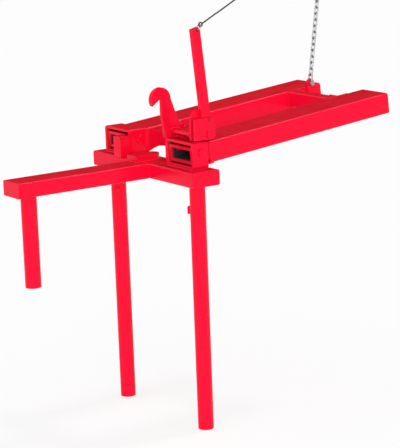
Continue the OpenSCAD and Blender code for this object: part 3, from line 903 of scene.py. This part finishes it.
class LIFTER_OT_stage(bpy.types.Operator):
    """Pale floor, soft studio light and the camera"""

    bl_idname = "lifter.stage"
    bl_label = "Stage"

    def execute(self, context):
        scene = context.scene
        stage = scene.lifter_stage
        scene.view_settings.view_transform = "Standard"
        self.add_floor(stage)
        for name, (setting, towards, softness) in LAMPS.items():
            self.add_sun(name, towards, getattr(stage, setting), softness)
        self.add_world(scene, stage)
        self.add_camera(scene, stage)
        return {"FINISHED"}

    @staticmethod
    def add_floor(stage):
        """A wide pale floor just under the long legs."""
        low = CAD_BOX[0][2] - FLOOR_GAP
        half = FLOOR_HALF
        mesh = bpy.data.meshes.new("Floor")
        mesh.from_pydata(
            [(-half, -half, low), (half, -half, low), (half, half, low),
             (-half, half, low)], [], [(0, 1, 2, 3)])
        floor = bpy.data.objects.new("Floor", mesh)
        bpy.context.scene.collection.objects.link(floor)
        material = bpy.data.materials.new("Pale Floor")
        material.use_nodes = True
        tree = material.node_tree
        shader = tree.nodes["Principled BSDF"]
        shader.inputs["Base Color"].default_value = (*stage.floor_colour, 1)
        shader.inputs["Roughness"].default_value = 0.9
        shader.inputs["Specular IOR Level"].default_value = 0.1
        white = add_node(tree, "ShaderNodeEmission", {"Strength": 1.0})
        both = tree.nodes.new("ShaderNodeMixShader")
        glow = math_node(tree, "MULTIPLY", seen_rays(tree), stage.floor_glow)
        tree.links.new(glow, both.inputs["Fac"])
        wire(
            tree,
            (shader, "BSDF", both, 1),
            (white, "Emission", both, 2),
            (both, "Shader", tree.nodes["Material Output"], "Surface"),
        )
        mesh.materials.append(material)

    @staticmethod
    def add_sun(name, towards, strength, softness):
        """A soft distant lamp that shines from the given direction."""
        lamp = bpy.data.lights.new(name, "SUN")
        lamp.energy = strength
        lamp.angle = math.radians(softness)
        holder = bpy.data.objects.new(name, lamp)
        holder.rotation_euler = Vector(towards).to_track_quat("Z", "Y").to_euler()
        bpy.context.scene.collection.objects.link(holder)

    @staticmethod
    def add_world(scene, stage):
        """A soft dome of light, dim behind, that is seen as plain white."""
        world = bpy.data.worlds.new("Studio")
        world.use_nodes = True
        scene.world = world
        tree = world.node_tree
        place = tree.nodes.new("ShaderNodeTexCoord")
        side = add_node(tree, "ShaderNodeVectorMath", {1: DOME_BRIGHT},
                        operation="DOT_PRODUCT")
        level = add_node(tree, "ShaderNodeMapRange", {
            "From Min": -0.25, "From Max": 0.95,
            "To Min": stage.dome_back, "To Max": stage.dome_front})
        seen = add_node(tree, "ShaderNodeMix", {"B": 1.0})
        light = tree.nodes["Background"]
        light.inputs["Color"].default_value = (1, 1, 1, 1)
        tree.links.new(seen_rays(tree), seen.inputs["Factor"])
        wire(
            tree,
            (place, "Generated", side, 0),
            (side, "Value", level, "Value"),
            (level, "Result", seen, "A"),
            (seen, "Result", light, "Strength"),
        )

    @staticmethod
    def add_camera(scene, stage):
        """The camera at the photograph's angle."""
        lens = bpy.data.cameras.new("Camera")
        lens.sensor_fit = "HORIZONTAL"
        lens.sensor_width = FILM_WIDTH
        lens.lens = stage.lens
        lens.clip_end = FARTHEST
        level = math.cos(CAMERA_ELEVATION)
        back = Vector((math.sin(CAMERA_AZIMUTH) * level,
                       -math.cos(CAMERA_AZIMUTH) * level,
                       math.sin(CAMERA_ELEVATION)))
        right = Vector((0, 0, 1)).cross(back).normalized()
        turn = Matrix.Rotation(CAMERA_ROLL, 3, back)
        right = turn @ right
        up = back.cross(right)
        camera = bpy.data.objects.new("Camera", lens)
        basis = Matrix((right, up, back)).transposed().to_4x4()
        camera.matrix_world = Matrix.Translation(CAMERA_PLACE) @ basis
        scene.collection.objects.link(camera)
        scene.camera = camera


class LIFTER_OT_finishes(bpy.types.Operator):
    """Paint, bare steel with painted shade, zinc and rope fibre, also on the solids that stay"""

    bl_idname = "lifter.finishes"
    bl_label = "Finishes"

    def execute(self, context):
        scene = context.scene
        groups = {"scuff": scuff_group(), "dust": dust_and_shade_group(),
                  "mottle": mottle_group()}
        MATERIALS["paint"] = make_paint(groups, scene.lifter_paint)
        MATERIALS["bore"] = make_bore(groups, scene.lifter_paint, scene.lifter_steel)
        MATERIALS["zinc"] = make_zinc(groups, scene.lifter_steel)
        MATERIALS["black"] = make_black_steel_and_shade(groups, scene.lifter_paint,
                                             scene.lifter_steel)
        MATERIALS["rope"] = make_rope_fibre(groups, scene.lifter_rope)
        finish_of = {slot: finish for finish, slot in SLOT_OF.items()}
        for part in frame["record"]["subparts"]:
            mesh = frame["nodes"][part["node"]].data
            mesh.materials.clear()
            mesh.materials.append(MATERIALS[finish_of[part["material_slot"]]])
        return {"FINISHED"}


class LIFTER_OT_rope(bpy.types.Operator):
    """The pull rope and its two end loops"""

    bl_idname = "lifter.rope"
    bl_label = "Rope"

    def execute(self, context):
        rope = context.scene.lifter_rope
        tree = rope_tree()
        values = {"Radius": rope.radius, "Material": MATERIALS["rope"]}
        route = [Vector(point) for point in ROPE_ROUTE]
        run = grow("Rope route", tree, line_mesh("Rope route", [(route, False)]),
                   {**values, "Lay": rope.lay})
        lays_per_loop = 3
        loop_lay = math.tau * rope.loop_radius / lays_per_loop
        loops = grow("Rope loops", tree,
                     line_mesh("Rope loops", [
                         (self.loop(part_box("rope_loops"), end, rope), True)
                         for end in (0, 1)]),
                     {**values, "Lay": loop_lay})
        eyes = new_piece("RopeLoops", loops, "latch", "rope", ["rope_loops"])
        cord = new_piece("Rope", run, "latch", "rope", ["rope"])
        return {"FINISHED"}

    @staticmethod
    def loop(box, end, rope):
        """Points round one loop, in the lowest or the highest corner of the box."""
        outer = rope.loop_radius + rope.radius
        inset = (outer, -outer)[end]
        middle = Vector((ROPE_ROUTE[0][0], box[end].y + inset, box[end].z + inset))
        count = 48
        angles = [math.tau * i / count for i in range(count)]
        return [middle + rope.loop_radius * Vector((0, math.cos(a), math.sin(a)))
                for a in angles]


class LIFTER_OT_fork_frame(bpy.types.Operator):
    """Channels, tongues, rear cross member, gussets, chain lug and stops"""

    bl_idname = "lifter.fork_frame"
    bl_label = "Fork frame"

    def execute(self, context):
        edges = context.scene.lifter_edges
        for node in ("channel_near", "channel_far", "tongue_near", "tongue_far"):
            bare_and_shaded_inside(soften(node, edges.tube), ALONG)
        soften("rear_cross_member", edges.tube)
        for node in ("corner_gussets", "chain_lug", "tilt_stops"):
            soften(node, edges.plate)
        return {"FINISHED"}


class LIFTER_OT_grab_head(bpy.types.Operator):
    """T-shaped head with its legs, sleeves, tie plate and fittings"""

    bl_idname = "lifter.grab_head"
    bl_label = "Grab head"

    def execute(self, context):
        edges = context.scene.lifter_edges
        for node in ("cross_beam", "arm", "leg_near", "leg_far", "leg_front"):
            soften(node, edges.tube)
        for node in ("sleeve_near", "sleeve_far"):
            bare_and_shaded_inside(soften(node, edges.tube), Vector((0.0, 1.0, 0.0)))
        for node in ("beam_end_plates", "leg_plugs", "grip_pads", "joint_strap",
                     "tie_plate", "stop_post", "pivot_pins", "latch_bearings"):
            soften(node, edges.plate)
        return {"FINISHED"}


class LIFTER_OT_claw_latch(bpy.types.Operator):
    """Claw, bridge, socket and rope lever on the latch shaft"""

    bl_idname = "lifter.claw_latch"
    bl_label = "Claw latch"

    def execute(self, context):
        edges = context.scene.lifter_edges
        for node in ("claw", "latch_bridge", "socket_plates", "rope_lever",
                     "latch_shaft", "shaft_collar"):
            soften(node, edges.plate)
        # The socket bolt's black is partly painted shade of its hole.
        soften("socket_bolt", edges.tube, "black")
        return {"FINISHED"}


class LIFTER_OT_chain(bpy.types.Operator):
    """Both halves of the safety chain"""

    bl_idname = "lifter.chain"
    bl_label = "Safety chain"

    def execute(self, context):
        chain = context.scene.lifter_chain
        tree = chain_tree()
        pull = (BOW - SHACKLE).normalized()
        lean = (-math.atan2(pull.y, pull.z), 0.0, 0.0)
        upper = Vector(JOINTS["chain_bend"]["pos_m"])
        gap = chain.length - chain.step
        start = {
            "chain_lower": upper - pull * (
                (chain.half - 1) * chain.step + chain.length / 2),
            "chain_upper": upper + pull * (chain.length / 2 - gap),
        }
        for node, first_turn in (("chain_lower", 1), ("chain_upper", 0)):
            mesh = grow(node, tree, line_mesh(node, []), {
                "Links": chain.half, "Width": chain.width, "Length": chain.length,
                "Wire": chain.wire, "Step": chain.step, "First Turn": first_turn,
                "Start": start[node], "Lean": lean, "Material": MATERIALS["zinc"],
            })
            new_piece(piece_name(node), mesh, BODY_OF[node], "zinc", [node])
        return {"FINISHED"}


class LIFTER_OT_welds(bpy.types.Operator):
    """Weld beads of the fork frame, the grab head and the latch"""

    bl_idname = "lifter.welds"
    bl_label = "Welds"

    def execute(self, context):
        welds = context.scene.lifter_welds
        tree = weld_tree()
        for name, body, paths in (
                ("FrameWelds", "fork_frame", self.frame_seams()),
                ("HeadWelds", "grab_head", self.head_seams()),
                ("LatchWelds", "latch", self.latch_seams())):
            mesh = grow(name, tree, line_mesh(name, paths), {
                "Radius": welds.radius, "Ripple": welds.ripple,
                "Material": MATERIALS["paint"],
            })
            new_piece(name, mesh, body, "paint")
        return {"FINISHED"}

    @staticmethod
    def frame_seams():
        """Seams of the cross member, its gussets, the chain lug and the tongues."""
        seams = []
        depth = reach("rear_cross_member", ALONG)
        height = reach("rear_cross_member", ABOVE)
        for x in reach("rear_cross_member", ACROSS):
            seams.append((round_loop(
                depth, height, CROSS_ROUND,
                lambda y, z, x=x: on_channels(x, y, z)), True))
        front, rear = reach("corner_gussets", ALONG)
        top = reach("corner_gussets", ABOVE)[1]
        for x in reach("corner_gussets", ACROSS):
            inner = x - math.copysign(rear - front, x)
            seams.append(([on_channels(inner, front, top), on_channels(x, front, top),
                           on_channels(x, rear, top)], False))
        side = reach("chain_lug", ACROSS)[0]
        foot = reach("chain_lug", ABOVE)[0]
        shoulder = reach("channel_far", ABOVE)[1] - CORNER
        for y in reach("chain_lug", ALONG):
            seams.append(([on_channels(side, y, foot),
                           on_channels(side, y, shoulder)], False))
        for channel, tongue in (("channel_near", "tongue_near"),
                                ("channel_far", "tongue_far")):
            front = reach(channel, ALONG)[0]
            seams.append((round_loop(
                reach(tongue, ACROSS), reach(tongue, ABOVE), TONGUE_ROUND,
                lambda x, z, y=front: on_channels(x, y, z)), True))
        return seams

    @staticmethod
    def head_seams():
        """Seams of the legs, sleeves, arm, strap, post and shaft bearings."""
        seams = []
        for leg in ("leg_near", "leg_far", "leg_front"):
            low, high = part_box(leg)
            radius = (high.x - low.x) / 2
            seams.append((round_loop(
                (low.x, high.x), (low.y, high.y), radius,
                lambda x, y, z=high.z: Vector((x, y, z))), True))
        for sleeve in ("sleeve_near", "sleeve_far"):
            low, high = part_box(sleeve)
            seams.append((round_loop(
                (low.x + SLEEVE_INSET, high.x - SLEEVE_INSET), (low.y, high.y),
                SLEEVE_ROUND,
                lambda x, y, z=low.z: Vector((x, y, z))), True))
        low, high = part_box("arm")
        for x in (low.x, high.x):
            seams.append(([Vector((x, high.y, low.z + CORNER)),
                           Vector((x, high.y, high.z - CORNER))], False))
        top = high.z - ARM_SEAM_DROP
        seams.append(([Vector((low.x + CORNER, high.y, top)),
                       Vector((high.x - CORNER, high.y, top))], False))
        low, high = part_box("joint_strap")
        half = (high.x - low.x) / 2
        middle = Vector((low.x + half, high.y - half, low.z))
        steps = 20
        angles = [math.pi * i / steps for i in range(steps + 1)]
        arc = [middle + half * Vector((math.cos(a), math.sin(a), 0)) for a in angles]
        seams.append(([*arc, Vector(low), Vector((high.x, low.y, low.z))], True))
        low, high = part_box("stop_post")
        beam_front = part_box("cross_beam")[0].y + CORNER
        for x in (low.x, high.x):
            seams.append(([Vector((x, beam_front, low.z)),
                           Vector((x, high.y, low.z))], False))
        low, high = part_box("latch_bearings")
        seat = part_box("sleeve_near")[1]
        for x in (low.x, low.x + BEARING_THICK, high.x - BEARING_THICK, high.x):
            seams.append(([Vector((x, seat.y - inset, seat.z))
                           for inset in BEARING_SEAM], False))
        return seams

    @staticmethod
    def latch_seams():
        """Seams of the bridge on the claw and on the far socket plate."""
        low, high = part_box("latch_bridge")
        return [([Vector((x, low.y, z)), Vector((x, high.y, z))], False)
                for x in (low.x, high.x) for z in (low.z, high.z)]


class LIFTER_PT_panel(bpy.types.Panel):
    """Lists the pieces in the order in which they are made"""

    bl_idname = "LIFTER_PT_panel"
    bl_label = "Drum Lifter"
    bl_space_type = "VIEW_3D"
    bl_region_type = "UI"
    bl_category = "Drum Lifter"

    def draw(self, context):
        for operator in OPERATORS:
            self.layout.operator(operator.bl_idname)
        for setting in SETTINGS:
            group = getattr(context.scene, setting)
            box = self.layout.box()
            for name in group.__annotations__:
                box.prop(group, name)


OPERATORS = (
    LIFTER_OT_stage, LIFTER_OT_finishes, LIFTER_OT_rope, LIFTER_OT_fork_frame,
    LIFTER_OT_grab_head, LIFTER_OT_claw_latch, LIFTER_OT_chain, LIFTER_OT_welds,
)


def register():
    """Registers the settings, the operators and the panel."""
    for name, settings in SETTINGS.items():
        bpy.utils.register_class(settings)
        setattr(bpy.types.Scene, name, PointerProperty(type=settings))
    for cls in (*OPERATORS, LIFTER_PT_panel):
        bpy.utils.register_class(cls)


def unregister():
    """Removes everything that register adds."""
    for cls in (LIFTER_PT_panel, *reversed(OPERATORS)):
        bpy.utils.unregister_class(cls)
    for name, settings in reversed(SETTINGS.items()):
        delattr(bpy.types.Scene, name)
        bpy.utils.unregister_class(settings)


def main():
    """Makes every piece in order."""
    register()
    bpy.ops.lifter.stage()
    bpy.ops.lifter.finishes()
    bpy.ops.lifter.rope()
    bpy.ops.lifter.fork_frame()
    bpy.ops.lifter.grab_head()
    bpy.ops.lifter.claw_latch()
    bpy.ops.lifter.chain()
    bpy.ops.lifter.welds()


if __name__ == "__main__":
    main()
